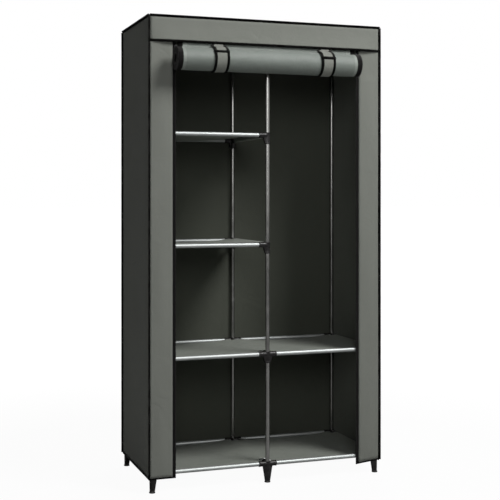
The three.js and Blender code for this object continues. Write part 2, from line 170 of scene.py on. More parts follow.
dust_group = layer_group("Settled dust", "Dust", facing_up, 38.0, 0.35, 0.7)
wear_group = layer_group("Worn edges", "Worn", on_edges, 190.0, 0.42, 0.62)
grain_group, given, result = shader_group(
    "Fine grain", [("Scale", "Float", 900.0)], [("Height", "Float"), ("Mask", "Float")]
)
place = object_place(grain_group)
pebbles = add_node(grain_group, "TexVoronoi", {"Vector": place, "Scale": given["Scale"]})
broad = cloudy(grain_group, place, 60.0, 3.0)
give_out(grain_group, result, {"Height": pebbles.outputs["Distance"], "Mask": broad})

joint_plastic, nodes = start_finish("joint plastic")
grain = use_group(nodes, grain_group, Scale=2400.0)
black, paler_black = (0.009, 0.0082, 0.0082, 1), (0.016, 0.0146, 0.0146, 1)
tone = mix_colours(nodes, fade(nodes, grain["Mask"], 0.3, 0.7), black, paler_black)
worn = use_group(nodes, wear_group, Colour=tone, Worn=(0.085, 0.08, 0.078, 1), Amount=0.55)
dusty = use_group(
    nodes, dust_group, Colour=worn["Colour"], Dust=(0.2, 0.19, 0.175, 1), Amount=0.16
)
coat(nodes, {"Height": grain["Height"], "Distance": 0.00012, "Strength": 0.3}, {
    "Base Color": dusty["Colour"],
    "Roughness": fade(nodes, grain["Mask"], 0.3, 0.7, 0.22, 0.32),
    "Specular IOR Level": 0.28,
})

round_sides = 40
sleeve_radius = 0.0098
sleeve_overlap = 0.001
collar_radius = 0.0105
collar_length = 0.0055
arm_reach = 0.035
web_reach = 0.0175
web_drop = 0.033
web_thickness = 0.014
foot_height = 0.069
foot_web_width = 0.0088
foot_web_gap = 0.005
sole_radius = 0.0113
sole_height = 0.0035
welt_radius = 0.0108
welt_height = 0.0062
ankle_radius = 0.0092
ankle_low = 0.006
moulding_grain = 0.0013
moulding_easing = 7
quarter = math.pi / 2
axis_turns = {
    "x": Matrix.Rotation(quarter, 4, "Y"), "y": Matrix.Rotation(-quarter, 4, "X"), "z": Matrix()
}
arm_turns = {"right": 0.0, "back": quarter, "left": math.pi, "front": -quarter}


def verts_of(parts):
    return [part for part in parts if isinstance(part, bmesh.types.BMVert)]


def mesh_of(bm, name):
    mesh = bpy.data.meshes.new(name)
    bm.to_mesh(mesh)
    bm.free()
    return mesh


def turn_about_z(bm, verts, angle):
    bmesh.ops.rotate(bm, cent=(0, 0, 0), matrix=Matrix.Rotation(angle, 3, "Z"), verts=verts)


def round_bar(bm, axis, radius, low, high, end_radius=None):
    lift = Matrix.Translation((0, 0, (low + high) / 2))
    return bmesh.ops.create_cone(
        bm, cap_ends=True, segments=round_sides, radius1=radius, radius2=end_radius or radius,
        depth=high - low, matrix=axis_turns[axis] @ lift,
    )["verts"]


def web(bm, outline):
    sheet = bm.faces.new([bm.verts.new((reach, -web_thickness / 2, z)) for reach, z in outline])
    grown = verts_of(bmesh.ops.extrude_face_region(bm, geom=[sheet])["geom"])
    bmesh.ops.translate(bm, vec=(0, web_thickness, 0), verts=grown)
    return list(sheet.verts) + grown


def add_arm(bm, kind, direction):
    drop = foot_height - foot_web_gap if kind == "foot" else web_drop
    narrow = foot_web_width if kind == "foot" else sleeve_radius
    parts = round_bar(bm, "x", sleeve_radius, 0, arm_reach)
    parts += round_bar(bm, "x", collar_radius, arm_reach - collar_length, arm_reach)
    parts += web(
        bm, [(0, 0), (web_reach, 0), (web_reach, -sleeve_radius), (narrow, -drop), (0, -drop)]
    )
    turn_about_z(bm, parts, arm_turns[direction])


def moulded(bm):
    """The skin of overlapping closed forms, with the soft fillets of a moulding."""
    bmesh.ops.recalc_face_normals(bm, faces=bm.faces)
    rough = bpy.data.objects.new("joint", mesh_of(bm, "joint"))
    bpy.context.scene.collection.objects.link(rough)
    skin = rough.modifiers.new("skin", "REMESH")
    skin.mode, skin.voxel_size, skin.use_smooth_shade = "VOXEL", moulding_grain, True
    ease = rough.modifiers.new("ease", "SMOOTH")
    ease.factor, ease.iterations = 0.5, moulding_easing
    graph = bpy.context.evaluated_depsgraph_get()
    mesh = bpy.data.meshes.new_from_object(rough.evaluated_get(graph))
    bpy.data.objects.remove(rough)
    return mesh


def joint_mesh(kind, arms):
    bm = bmesh.new()
    for direction in arms:
        add_arm(bm, kind, direction)
    if kind == "foot":
        sole_top, welt_top = sole_height - foot_height, welt_height - foot_height
        round_bar(bm, "z", sole_radius, -foot_height, sole_top)
        round_bar(bm, "z", welt_radius, sole_top, welt_top, ankle_radius)
        round_bar(bm, "z", ankle_radius, ankle_low - foot_height, -web_drop, sleeve_radius)
        round_bar(bm, "z", sleeve_radius, -web_drop - sleeve_overlap, collar_radius)
    else:
        round_bar(bm, "z", sleeve_radius, -web_drop, collar_radius)
        round_bar(bm, "z", collar_radius, -web_drop, collar_length - web_drop)
    collar_low = 0 if kind == "top" else collar_radius - collar_length
    round_bar(bm, "z", collar_radius, collar_low, collar_radius)
    return moulded(bm)


def show(name, mesh, finishes, replaced=(), body="root"):
    """Puts a finished mesh in the scene as a piece that rides on a body."""
    piece = bpy.data.objects.new(name, mesh)
    bpy.context.scene.collection.objects.link(piece)
    for finish in finishes:
        mesh.materials.append(finish)
    if body:
        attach(piece, body)
    if replaced:
        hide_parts(*replaced)
    return piece


level_names = ("base", "lower", "middle", "upper", "top")
right_levels = ("base", "lower", "top")
stations = {
    "left": (level_names, ("right",)),
    "centre": (level_names, ("left", "right")),
    "right": (right_levels, ("left",)),
}


def middle_of(node):
    low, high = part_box(node)
    return (low + high) / 2


level_height = {level: middle_of(f"left_{level}_rung").z for level in level_names}
station_x = {station: middle_of(f"{station}_base_rung").x for station in stations}
row_y = {"front": middle_of("front_left_post").y, "back": middle_of("back_left_base_rail").y}
inward_of = {"front": "back", "back": "front"}

joint_shapes = {}
for row, y in row_y.items():
    for station, (levels, across) in stations.items():
        for level in levels:
            kind = {"base": "foot", "top": "top"}.get(level, "through")
            arms = [
                side for side in across
                if (station, side) != ("centre", "right") or level in right_levels
            ]
            key = (kind, *arms, inward_of[row])
            if key not in joint_shapes:
                joint_shapes[key] = joint_mesh(kind, key[1:])
            mesh = joint_shapes[key].copy()
            mesh.transform(Matrix.Translation((station_x[station], y, level_height[level])))
            node = f"front_{station}_{level}_joint" if row == "front" else f"back_{station}_post"
            name = f"{row}_{station}_{level}_moulded_joint"
            show(name, mesh, [joint_plastic], [node])


# Steel tubes: posts, rungs from front to back and rails from post to post. Thin-walled welded
# tube, 16 mm across, coated silver grey. The posts are coloured a darker grey as painted shade,
# standing in for the dark surroundings that they reflect. Both ends sit inside the moulded sockets.
def tube_finish(name, dark, light, drawn_tone, satin):
    finish, tree = start_finish(name)
    along_tube = add_node(tree, "TexCoord").outputs["UV"]
    drawn = cloudy(tree, along_tube, 1.0, 3.0, (5200.0, 14.0, 1.0))
    cloud = cloudy(tree, object_place(tree), 21.0, 3.0)
    tone = mix_colours(tree, fade(tree, cloud, 0.3, 0.7), (*dark, 1), (*light, 1))
    tone = mix_colours(tree, fade(tree, drawn, 0.35, 0.75, 0.0, 0.35), tone, (*drawn_tone, 1))
    dusty = use_group(tree, dust_group, Colour=tone, Dust=(0.5, 0.49, 0.47, 1), Amount=0.25)
    drawn_satin = fade(tree, drawn, 0.3, 0.75, satin, satin + 0.12)
    cloud_satin = fade(tree, cloud, 0.35, 0.7, 0.0, 0.08)
    coat(tree, {"Height": drawn, "Distance": 0.00012, "Strength": 0.5}, {
        "Base Color": dusty["Colour"],
        "Metallic": fade(tree, dusty["Mask"], 0.0, 0.3, 0.9, 0.6),
        "Roughness": reckon(tree, "ADD", drawn_satin, cloud_satin),
    })
    return finish


steel_tube = tube_finish(
    "silver grey steel tube", (0.37, 0.39, 0.385), (0.45, 0.47, 0.46), (0.26, 0.275, 0.275), 0.42
)
# The rungs' steel darkened: painted shade on the posts.
post_steel_painted_shade = tube_finish(
    "steel tube darkened as painted shade", (0.26, 0.258, 0.248), (0.33, 0.327, 0.315), (0.16, 0.16, 0.155), 0.12
)
tube_radius = 0.008
tube_wall = 0.0008
tube_inset = 0.0108
post_low = 0.0305
post_top = level_height["top"] + tube_radius


def wrap_round(bm, faces, place):
    """UVs in metres on the given faces: place gives them for each point."""
    layer = bm.loops.layers.uv.verify()
    for face in faces:
        for loop in face.loops:
            loop[layer].uv = place(loop.vert)


def show_tube(node, axis, start, length, finish):
    """The tube of a node, from its start along an axis."""
    bm = bmesh.new()
    bmesh.ops.create_circle(bm, radius=tube_radius, segments=round_sides)
    pulled = bmesh.ops.extrude_edge_only(bm, edges=list(bm.edges))["geom"]
    bmesh.ops.translate(bm, vec=(0, 0, length), verts=verts_of(pulled))
    bmesh.ops.recalc_face_normals(bm, faces=bm.faces)
    bmesh.ops.solidify(bm, geom=list(bm.faces), thickness=tube_wall)
    wrap_round(bm, bm.faces, lambda vert: (
        abs(math.atan2(vert.co.y, vert.co.x)) * tube_radius, vert.co.z
    ))
    bmesh.ops.transform(bm, matrix=Matrix.Translation(start) @ axis_turns[axis], verts=bm.verts)
    mesh = mesh_of(bm, "tube")
    mesh.set_sharp_from_angle(angle=math.radians(40))
    show(f"{node}_tube", mesh, [finish], [node])


for row, y in row_y.items():
    for station, x in station_x.items():
        show_tube(f"{row}_{station}_post", "z", (x, y, post_low), post_top - post_low, post_steel_painted_shade)
    for side, first, last in (("left", "left", "centre"), ("right", "centre", "right")):
        start = station_x[first] + tube_inset
        length = station_x[last] - tube_inset - start
        for level in level_names if side == "left" else right_levels:
            place = (start, y, level_height[level])
            show_tube(f"{row}_{side}_{level}_rail", "x", place, length, steel_tube)
start = row_y["front"] + tube_inset
length = row_y["back"] - tube_inset - start
for station, (levels, across) in stations.items():
    for level in levels:
        place = (station_x[station], start, level_height[level])
        show_tube(f"{station}_{level}_rung", "y", place, length, steel_tube)


# Cloth shelves: one sheet of the cover's woven cloth each, with a sleeve stitched at every rung
# that it hangs on and a notch at every joint. They sag a little between the rungs. Their cloth is
# coloured lighter than the cover's, as painted light inside the wardrobe.
weave_group, given, result = shader_group(
    "Plain weave",
    [("Vector", "Vector", (0, 0, 0)), ("Thread", "Float", 0.0006),
     ("Colour", "Color", (0.2, 0.2, 0.2, 1)), ("Shade", "Color", (0.1, 0.1, 0.1, 1))],
    [("Colour", "Color"), ("Height", "Float"), ("Slub", "Float")],
)
run = given["Vector"]
threads = add_node(weave_group, "SeparateXYZ", {0: run}).outputs
counts = [reckon(weave_group, "DIVIDE", threads[side], given["Thread"]) for side in (0, 1)]
waves = [reckon(weave_group, "SINE", multiply(weave_group, count, math.pi)) for count in counts]
over = reckon(weave_group, "GREATER_THAN", multiply(weave_group, *waves), 0.0)
warp, weft = (reckon(weave_group, "ABSOLUTE", wave) for wave in waves)
gap = reckon(weave_group, "SUBTRACT", weft, warp)
height = reckon(weave_group, "ADD", warp, multiply(weave_group, gap, over))
slubs = [
    cloudy(weave_group, run, 1.0, 2.0, stretch) for stretch in ((1500, 40, 1), (40, 1500, 1))
]
slub = multiply(weave_group, reckon(weave_group, "ADD", *slubs), 0.5)
# The Shade colour is painted shade in the hollows between the threads; the thick threads of the slubs take
# it too, as a darker tone of their own.
hollow = reckon(weave_group, "SUBTRACT", 1.0, fade(weave_group, height, 0.1, 0.75))
thick = fade(weave_group, slub, 0.5, 0.7, 0.0, 0.5)
shading = reckon(weave_group, "MAXIMUM", multiply(weave_group, hollow, 0.55), thick)
shaded = mix_colours(weave_group, shading, given["Colour"], given["Shade"])
give_out(weave_group, result, {"Colour": shaded, "Height": height, "Slub": slub})

crease_group, given, result = shader_group(
    "Soft creases", [("Scale", "Float", 9.0)], [("Height", "Float"), ("Shade", "Float")]
)
place = object_place(crease_group)
ridges = add_node(crease_group, "TexNoise", {
    "Vector": place, "Scale": given["Scale"], "Detail": 3.0, "Distortion": 0.8,
}).outputs[0]
ripple = reckon(crease_group, "ABSOLUTE", reckon(crease_group, "SUBTRACT", ridges, 0.5))
crease = fade(crease_group, ripple, 0.0, 0.16)
give_out(crease_group, result, {"Height": crease, "Shade": cloudy(crease_group, place, 3.2, 3.0)})


def cloth_finish(name, light, shade, thread=0.0007, crease=0.0011, sheen=0.08, gloss=0.04, smooth=0.0):
    """Woven cloth. thread and crease are a thread's width and a fold's depth in metres; shade is the colour
    of the painted shade between the threads.
    """
    finish, tree = start_finish(name)
    run = add_node(tree, "TexCoord").outputs["UV"]
    weave = use_group(
        tree, weave_group, Vector=run, Thread=thread, Colour=(*light, 1), Shade=(*shade, 1)
    )
    folds = use_group(tree, crease_group, Scale=9.0)
    dim = tuple(0.86 * part for part in light)
    dimmed = fade(tree, folds["Shade"], 0.35, 0.7, 0.0, 0.45)
    mottled = mix_colours(tree, dimmed, weave["Colour"], (*dim, 1))
    dusty = use_group(tree, dust_group, Colour=mottled, Dust=(0.42, 0.41, 0.39, 1), Amount=0.12)
    fold = add_node(tree, "Bump", {"Height": folds["Height"], "Distance": crease, "Strength": 0.6})
    relief = {"Height": weave["Height"], "Distance": thread * 0.35, "Strength": 0.7}
    coat(tree, {**relief, "Normal": fold.outputs[0]}, {
        "Base Color": dusty["Colour"],
        "Roughness": fade(tree, weave["Slub"], 0.4, 0.65, 0.78 - smooth, 0.9 - smooth),
        "Sheen Weight": sheen,
        "Sheen Roughness": 0.45,
        "Specular IOR Level": gloss,
    })
    return finish


# The cover's cloth coloured lighter: painted light inside the wardrobe.
shelf_painted_light_cloth = cloth_finish(
    "shelf cloth painted light", (0.260, 0.279, 0.246), (0.168, 0.183, 0.158), crease=0.0014, gloss=0.06
)
cloth_thickness = 0.001
shelf_front = row_y["front"] + 0.012
shelf_back = row_y["back"] - 0.012
shelf_rows = 34
shelf_sag = 0.012
free_reach = 0.06
edge_drop = 0.002
edge_reach = 0.03
sleeve_gap = 0.0006
sleeve_turns = [math.radians(105 - 14.5 * at) for at in range(19)]
stitch_reach = 0.0025
notch_length = 0.036
notch_half = 0.0115


def thicken(mesh_piece, thickness, offset, inner=0):
    wall = mesh_piece.modifiers.new("thickness", "SOLIDIFY")
    wall.thickness, wall.offset, wall.use_even_offset = thickness, offset, True
    wall.material_offset = inner
    wall.use_quality_normals = True


def smooth_mesh(bm, name):
    for face in bm.faces:
        face.smooth = True
    return mesh_of(bm, name)


def waver(x, y, z):
    """Unevenness that wanders between -1 and 1, the same on each run."""
    return noise.noise(Vector((x, y, z)))


def start_row(bm, places):
    """A chain of points from which a sheet is pulled."""
    row = [bm.verts.new(place) for place in places]
    return [bm.edges.new(pair) for pair in zip(row, row[1:])]


def pull_row(bm, row, shift, times=1):
    """Pulls the free edge of a sheet on by a shift, as often as times says."""
    for _ in range(times):
        pulled = bmesh.ops.extrude_edge_only(bm, edges=row)["geom"]
        fresh = set(verts_of(pulled))
        for vert in fresh:
            vert.co += shift
        edges = [part for part in pulled if isinstance(part, bmesh.types.BMEdge)]
        row = [edge for edge in edges if fresh.issuperset(edge.verts)]
    return row


def shelf_line(rungs):
    """The shelf in X and height above its rungs, from sleeve to sleeve with a sag between."""
    radius = tube_radius + sleeve_gap + cloth_thickness / 2
    sleeve = [(radius * math.cos(turn), radius * math.sin(turn)) for turn in sleeve_turns]
    line = [(rungs[0] - x, z) for x, z in reversed(sleeve)]
    for start, end in zip(rungs, rungs[1:]):
        for step in range(1, 25):
            share = step / 25
            sag = 4 * shelf_sag * share * (1 - share)
            across = stitch_reach + share * (end - start - 2 * stitch_reach)
            line.append((start + across, radius - sag))
        if end != rungs[-1]:
            line.append((end, radius))
    return line + [(rungs[-1] + x, z) for x, z in sleeve]


for level in level_names[:-1]:
    held_at = ("left", "centre", "right") if level in right_levels else ("left", "centre")
    rungs = [station_x[station] for station in held_at]
    height = level_height[level]
    bm = bmesh.new()
    row = start_row(bm, [(x, shelf_front, height + z) for x, z in shelf_line(rungs)])
    pull_row(bm, row, Vector((0, (shelf_back - shelf_front) / shelf_rows, 0)), shelf_rows)
    bmesh.ops.recalc_face_normals(bm, faces=bm.faces)
    notch_ends = (shelf_front + notch_length, shelf_back - notch_length)
    for edge in notch_ends:
        whole = bm.verts[:] + bm.edges[:] + bm.faces[:]
        bmesh.ops.bisect_plane(bm, geom=whole, plane_co=(0, edge, 0), plane_no=(0, 1, 0))
    cut_away = [
        face for face in bm.faces
        if not notch_ends[0] < face.calc_center_median().y < notch_ends[1]
        and any(abs(face.calc_center_median().x - x) < notch_half for x in rungs)
    ]
    bmesh.ops.delete(bm, geom=cut_away, context="FACES")
    wrap_round(bm, bm.faces, lambda vert: (vert.co.x, vert.co.y))
    for vert in bm.verts:
        free = min(1.0, min(abs(vert.co.x - x) for x in rungs) / free_reach)
        ripple = 0.0016 * waver(vert.co.x * 9, vert.co.y * 14, height * 7)
        from_edge = min(vert.co.y - shelf_front, shelf_back - vert.co.y)
        vert.co.z += free * (ripple - edge_drop * math.exp(-from_edge / edge_reach))
    shelf = show(
        f"{level}_cloth_shelf", smooth_mesh(bm, "shelf"), [shelf_painted_light_cloth],
        [f"{level}_shelf"],
    )
    thicken(shelf, cloth_thickness, 0)


# Hanging rod: a length of the same tube whose two moulded ends are hooked over the top rungs of
# the right bay. Each end is a half-round saddle on the rung with a socket for the rod.
rod_y = middle_of("hanging_rod").y
rod_z = level_height["top"]
rod_inset = 0.0105
rod_socket_radius = 0.0102
rod_socket_reach = 0.034
rod_socket_overlap = 0.0008
saddle_inner = 0.0083
saddle_outer = 0.0099
saddle_half_width = 0.008
saddle_lean = math.radians(28)
saddle_wrap = math.radians(236)
hook_edge = 0.0004


def round_edges(bm, edges, radius, segments):
    bmesh.ops.bevel(
        bm, geom=edges, offset=radius, segments=segments, profile=0.5, affect="EDGES", material=-1
    )


def edges_sharper(bm, degrees):
    return [edge for edge in bm.edges if edge.calc_face_angle(0) > math.radians(degrees)]


rod_length = station_x["right"] - station_x["centre"] - 2 * rod_inset
rod_start = (station_x["centre"] + rod_inset, rod_y, rod_z)
show_tube("hanging_rod", "x", rod_start, rod_length, steel_tube)
for station, facing in (("centre", 0.0), ("right", math.pi)):
    bm = bmesh.new()
    profile = [(saddle_inner, -1), (saddle_outer, -1), (saddle_outer, 1), (saddle_inner, 1)]
    corners = [bm.verts.new((reach, side * saddle_half_width, 0)) for reach, side in profile]
    ring = [bm.edges.new((corners[at], corners[at - 1])) for at in range(4)]
    lean = Matrix.Rotation(saddle_lean, 3, "Y")
    bmesh.ops.rotate(bm, cent=(0, 0, 0), matrix=lean, verts=corners)
    bmesh.ops.spin(
        bm, geom=corners + ring, cent=(0, 0, 0), axis=(0, 1, 0), angle=-saddle_wrap, steps=30
    )
    bmesh.ops.holes_fill(bm, edges=bm.edges, sides=4)
    round_bar(bm, "x", rod_socket_radius, saddle_inner + rod_socket_overlap, rod_socket_reach)
    bmesh.ops.recalc_face_normals(bm, faces=bm.faces)
    round_edges(bm, edges_sharper(bm, 50), hook_edge, 2)
    turn_about_z(bm, bm.verts, facing)
    bmesh.ops.translate(bm, vec=(station_x[station], rod_y, rod_z), verts=bm.verts)
    mesh = smooth_mesh(bm, "rod hook")
    mesh.set_sharp_from_angle(angle=math.radians(40))
    show(f"hanging_rod_{station}_hook", mesh, [joint_plastic], ["hanging_rod"])


# Cover: roof, back, two sides, two front strips and the lintel flap, cut from grey-green woven
# cloth and sewn into one bag that drops over the frame. It sags inward between the tubes. Its
# inner faces are coloured darker than the outer ones, as painted shade for the inside of the
# wardrobe; those of the two sides get the least of it.
cover_cloth = cloth_finish("grey green woven cloth", (0.228, 0.238, 0.213), (0.150, 0.158, 0.141))
# The inner faces: the cover's cloth darkened as painted shade, and darkened less on the two sides.
inside_painted_shade_cloth = cloth_finish(
    "cloth inside face painted shade", (0.090, 0.096, 0.079), (0.055, 0.060, 0.048), sheen=0.04
)
side_inside_painted_shade_cloth = cloth_finish(
    "side inside face painted shade", (0.215, 0.226, 0.198), (0.140, 0.149, 0.130), sheen=0.04
)
side_finish = 2
half_width = 0.45
depth_length = 0.431
front_y = row_y["front"] - 0.012
back_y = front_y + depth_length
roof_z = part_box("cover")[1].z
hem_z = 0.052
hem_droop = 0.009
droop_height = 0.05
wall_height = roof_z - hem_z
lintel_hem_z = 1.611
lintel_height = roof_z - lintel_hem_z
lintel_stand_out = 0.011
lintel_sewn_end = 0.09
opening_half = 0.354
strip_edge = opening_half + 0.012
strip_width = half_width - strip_edge
strip_bulge = 0.0035
strip_wave = 0.62
strip_tuck = 0.0016
wall_sag = 0.007
roof_sag_left = 0.006
roof_sag_right = 0.0016
near_post = 0.053
pucker_height = 0.0009
pucker_reach = 0.022
pucker_start = 0.004
side_columns = 30
width_columns = 66
strip_columns = 9
wall_rows = 118
lintel_rows = 8


def limited(share):
    return max(0.0, min(1.0, share))


def swell(share):
    return math.sin(math.pi * limited(share)) ** 2


def between_posts(along, length):
    return swell((along - near_post) / (length - 2 * near_post))


def between_levels(z):
    if not level_height["base"] < z < level_height["top"]:
        return 0.0
    step = level_height["lower"] - level_height["base"]
    return swell(((z - level_height["base"]) % step) / step)


def pucker(x, y, z, from_seam):
    """Small gathers that run away from a sewn seam, in metres."""
    fading = math.exp(-from_seam / pucker_reach) * min(1.0, from_seam / pucker_start)
    return pucker_height * waver(x * 24, y * 24, z * 24) * fading


def drape(height, x, y, z, from_seam, reach=0.05):
    """Slow waves of loose cloth, which die out towards a seam."""
    return height * waver(x, y, z) * min(1.0, from_seam / reach)


def lay_panel(bm, corner, across, up, columns, rows, inward, depth):
    """One panel as a grid of cloth. depth gives how far it is pushed inward at each share."""
    made = bmesh.ops.create_grid(bm, x_segments=columns, y_segments=rows, size=0.5)["verts"]
    faces = list({face for vert in made for face in vert.link_faces})
    wide, tall, inward = across.length, up.length, Vector(inward)
    wrap_round(bm, faces, lambda vert: ((vert.co.x + 0.5) * wide, (vert.co.y + 0.5) * tall))
    for vert in made:
        share, rise = vert.co.x + 0.5, vert.co.y + 0.5
        vert.co = corner + across * share + up * rise + inward * depth(share, rise)
    if across.cross(up).dot(inward) > 0:
        bmesh.ops.reverse_faces(bm, faces=faces)


def side_depth(share, rise):
    along, z = share * depth_length, hem_z + rise * wall_height
    seam = min(along, depth_length - along, roof_z - z)
    sag = wall_sag * between_posts(along, depth_length) * between_levels(z)
    return sag + drape(0.0011, along * 6, 3.7, z * 2.2, seam) + pucker(0.7, along, z, seam)


def back_depth(share, rise):
    along, z = share * 2 * half_width, hem_z + rise * wall_height
    seam = min(along, 2 * half_width - along, roof_z - z)
    sag = wall_sag * between_posts(along % half_width, half_width) * between_levels(z)
    return sag + drape(0.0014, along * 5, 9.1, z * 2.0, seam) + pucker(along, 0.3, z, seam)


def strip_depth(side):
    def depth(share, rise):
        z = hem_z + rise * wall_height
        inner = 1 - share if side > 0 else share
        seam = (1 - inner) * strip_width
        wave = (1 + math.sin(2 * math.pi * z / strip_wave)) / 2
        free = 1.0 if level_height["base"] < z < lintel_hem_z - 0.1 else 0.0
        bulge = strip_bulge * swell(inner) * wave * free
        tuck = strip_tuck * limited((z - lintel_hem_z + 0.02) / 0.03) * min(1.0, inner * 5)
        hang = drape(0.0009, share * 2 + side, 5.3, z * 2.6, seam, 0.03)
        return tuck - bulge + hang + pucker(share, 0.9, z, seam)

    return depth


def roof_depth(share, rise):
    along, back = share * 2 * half_width, rise * depth_length
    seam = min(along, 2 * half_width - along, back, depth_length - back)
    if along < half_width:
        sag = roof_sag_left * between_posts(along, half_width) * swell(back / depth_length)
    else:
        between_rungs = swell(back % (depth_length / 2) / (depth_length / 2))
        sag = roof_sag_right * between_posts(along - half_width, half_width) * between_rungs
    return sag + drape(0.0006, along * 7, back * 7, 1.9, seam) + pucker(along, back, 0.4, seam)


def lintel_stand(along):
    """How far the lintel's free hem stands out in front of the door. Its ends are sewn down."""
    from_end = min(along, 2 * half_width - along)
    return lintel_stand_out * math.sin(quarter * min(1.0, from_end / lintel_sewn_end))


def lintel_depth(share, rise):
    along, z = share * 2 * half_width, lintel_hem_z + rise * lintel_height
    seam = min(roof_z - z, along, 2 * half_width - along)
    hang = lintel_stand(along) * (1 - rise) ** 2
    ripple = drape(0.0007, along * 8, 2.2, z * 6, 1 - rise, 0.25)
    return ripple - hang + pucker(along, 0.1, z, seam)


left_front = Vector((-half_width, front_y, hem_z))
right_front = Vector((half_width, front_y, hem_z))
left_back = Vector((-half_width, back_y, hem_z))
left_lintel = Vector((-half_width, front_y, lintel_hem_z))
up, up_lintel = Vector((0, 0, wall_height)), Vector((0, 0, lintel_height))
to_back = Vector((0, depth_length, 0))
across, strip = Vector((2 * half_width, 0, 0)), Vector((strip_width, 0, 0))
panels = (
    (left_front, to_back, up, side_columns, wall_rows, (1, 0, 0), side_depth),
    (right_front, to_back, up, side_columns, wall_rows, (-1, 0, 0), side_depth),
    (left_back, across, up, width_columns, wall_rows, (0, -1, 0), back_depth),
    (left_front, strip, up, strip_columns, wall_rows, (0, 1, 0), strip_depth(-1)),
    (right_front - strip, strip, up, strip_columns, wall_rows, (0, 1, 0), strip_depth(1)),
    (left_front + up, across, to_back, width_columns, side_columns, (0, 0, -1), roof_depth),
    (left_lintel, across, up_lintel, width_columns, lintel_rows, (0, 1, 0), lintel_depth),
)
bm = bmesh.new()
for panel in panels:
    lay_panel(bm, *panel)
bmesh.ops.remove_doubles(bm, verts=bm.verts, dist=0.00005)
for vert in bm.verts:
    x, y, z = vert.co
    if z < hem_z + droop_height and x > strip_edge - 0.001 and y < front_y + 0.004:
        inner = 1 - (x - strip_edge) / strip_width
        vert.co.z -= hem_droop * inner * (1 - (z - hem_z) / droop_height)
# The two sides' faces take the finish whose inner face carries the lightest painted shade.
for face in bm.faces:
    if abs(face.calc_center_median().x) > half_width - 0.02 and abs(face.normal.x) > 0.5:
        face.material_index = side_finish
cover = show(
    "wardrobe_cover", smooth_mesh(bm, "cover"),
    [cover_cloth, inside_painted_shade_cloth, cover_cloth, side_inside_painted_shade_cloth], ["cover"],
)
thicken(cover, cloth_thickness, -1, inner=1)


# Binding: black bias tape folded over every sewn edge of the cover and stitched down. It stands
# out as a flat bead along the corners, and closes the hems of the walls and of the lintel.
black_tape = cloth_finish(
    "black binding tape", (0.0045, 0.0045, 0.0042), (0.002, 0.002, 0.002),
    thread=0.0009, crease=0.0005, sheen=0.0, gloss=0.05,
)
corner_tape = (0.0145, 0.0044)
side_hem_tape = (0.012, 0.0036)
strip_hem_tape = (0.0065, 0.0026)
lintel_tape = (0.0082, 0.0036)
corner_stand = 0.0008
hem_inset = 0.0005
tape_step = 0.018


def bind(bm, start, end, lean, tape, wobble=0.00035):
    """Folded tape, of a width and a thickness, along a straight seam. Its width lies along lean."""
    start, end, lean = Vector(start), Vector(end), Vector(lean).normalized()
    run = end - start
    steps = max(2, round(run.length / tape_step))
    ahead = run.normalized()
    outward_side = ahead.cross(lean)
    turn = Matrix((lean, outward_side, ahead)).transposed().to_4x4()
    size = Matrix.Diagonal((tape[0] / 2, tape[1] / 2, 1, 1))
    made = list(bmesh.ops.create_circle(
        bm, cap_ends=True, radius=1, segments=12, matrix=Matrix.Translation(start) @ turn @ size
    )["verts"])
    tip = made[0].link_faces[0]
    for step in range(1, steps + 1):
        pulled = bmesh.ops.extrude_face_region(bm, geom=[tip])["geom"]
        grown = verts_of(pulled)
        here = start + run * (step / steps)
        drift = wobble * noise.noise(here * 31.0)
        before = wobble * noise.noise((here - run / steps) * 31.0) if step > 1 else 0.0
        bmesh.ops.translate(bm, vec=run / steps + lean * (drift - before), verts=grown)
        tip = next(part for part in pulled if isinstance(part, bmesh.types.BMFace))
        made += grown
    faces = list({face for vert in made for face in vert.link_faces})
    bmesh.ops.recalc_face_normals(bm, faces=faces)
    wrap_round(bm, faces, lambda vert: (
        (vert.co - start).dot(lean) + 0.4 * (vert.co - start).dot(outward_side),
        (vert.co - start).dot(ahead),
    ))


corner_rows = ((front_y - corner_stand, -1), (back_y + corner_stand, 1))
corner_z = roof_z + corner_stand
upright = (0, 0, 1)
bm = bmesh.new()
for side in (-1, 1):
    x = side * (half_width + corner_stand)
    for y, out in corner_rows:
        bind(bm, (x, y, hem_z - 0.001), (x, y, roof_z), (side, out, 0), corner_tape)
    bind(bm, (x, front_y, corner_z), (x, back_y, corner_z), (side, 0, 1), corner_tape)
for y, out in corner_rows:
    bind(bm, (-half_width, y, corner_z), (half_width, y, corner_z), (0, out, 1), corner_tape)
for side in (-1, 1):
    x, y = side * half_width, front_y + hem_inset
    bind(bm, (x, front_y, hem_z), (x, back_y, hem_z), upright, side_hem_tape)
    droop = hem_droop * (half_width - opening_half) / strip_width if side > 0 else 0.0
    bind(bm, (side * opening_half, y, hem_z - droop), (x, y, hem_z), upright, strip_hem_tape)
y = back_y - hem_inset
bind(bm, (-half_width, y, hem_z), (half_width, y, hem_z), upright, strip_hem_tape)
cover_binding = show("cover_binding", smooth_mesh(bm, "binding"), [black_tape])

bm = bmesh.new()
z = lintel_hem_z + 0.002
bind(bm, (-half_width, front_y, z), (half_width, front_y, z), upright, lintel_tape)
for vert in bm.verts:
    vert.co.y -= lintel_stand(vert.co.x + half_width)
lintel_binding = show(
    "lintel_binding", smooth_mesh(bm, "lintel binding"), [black_tape]
)


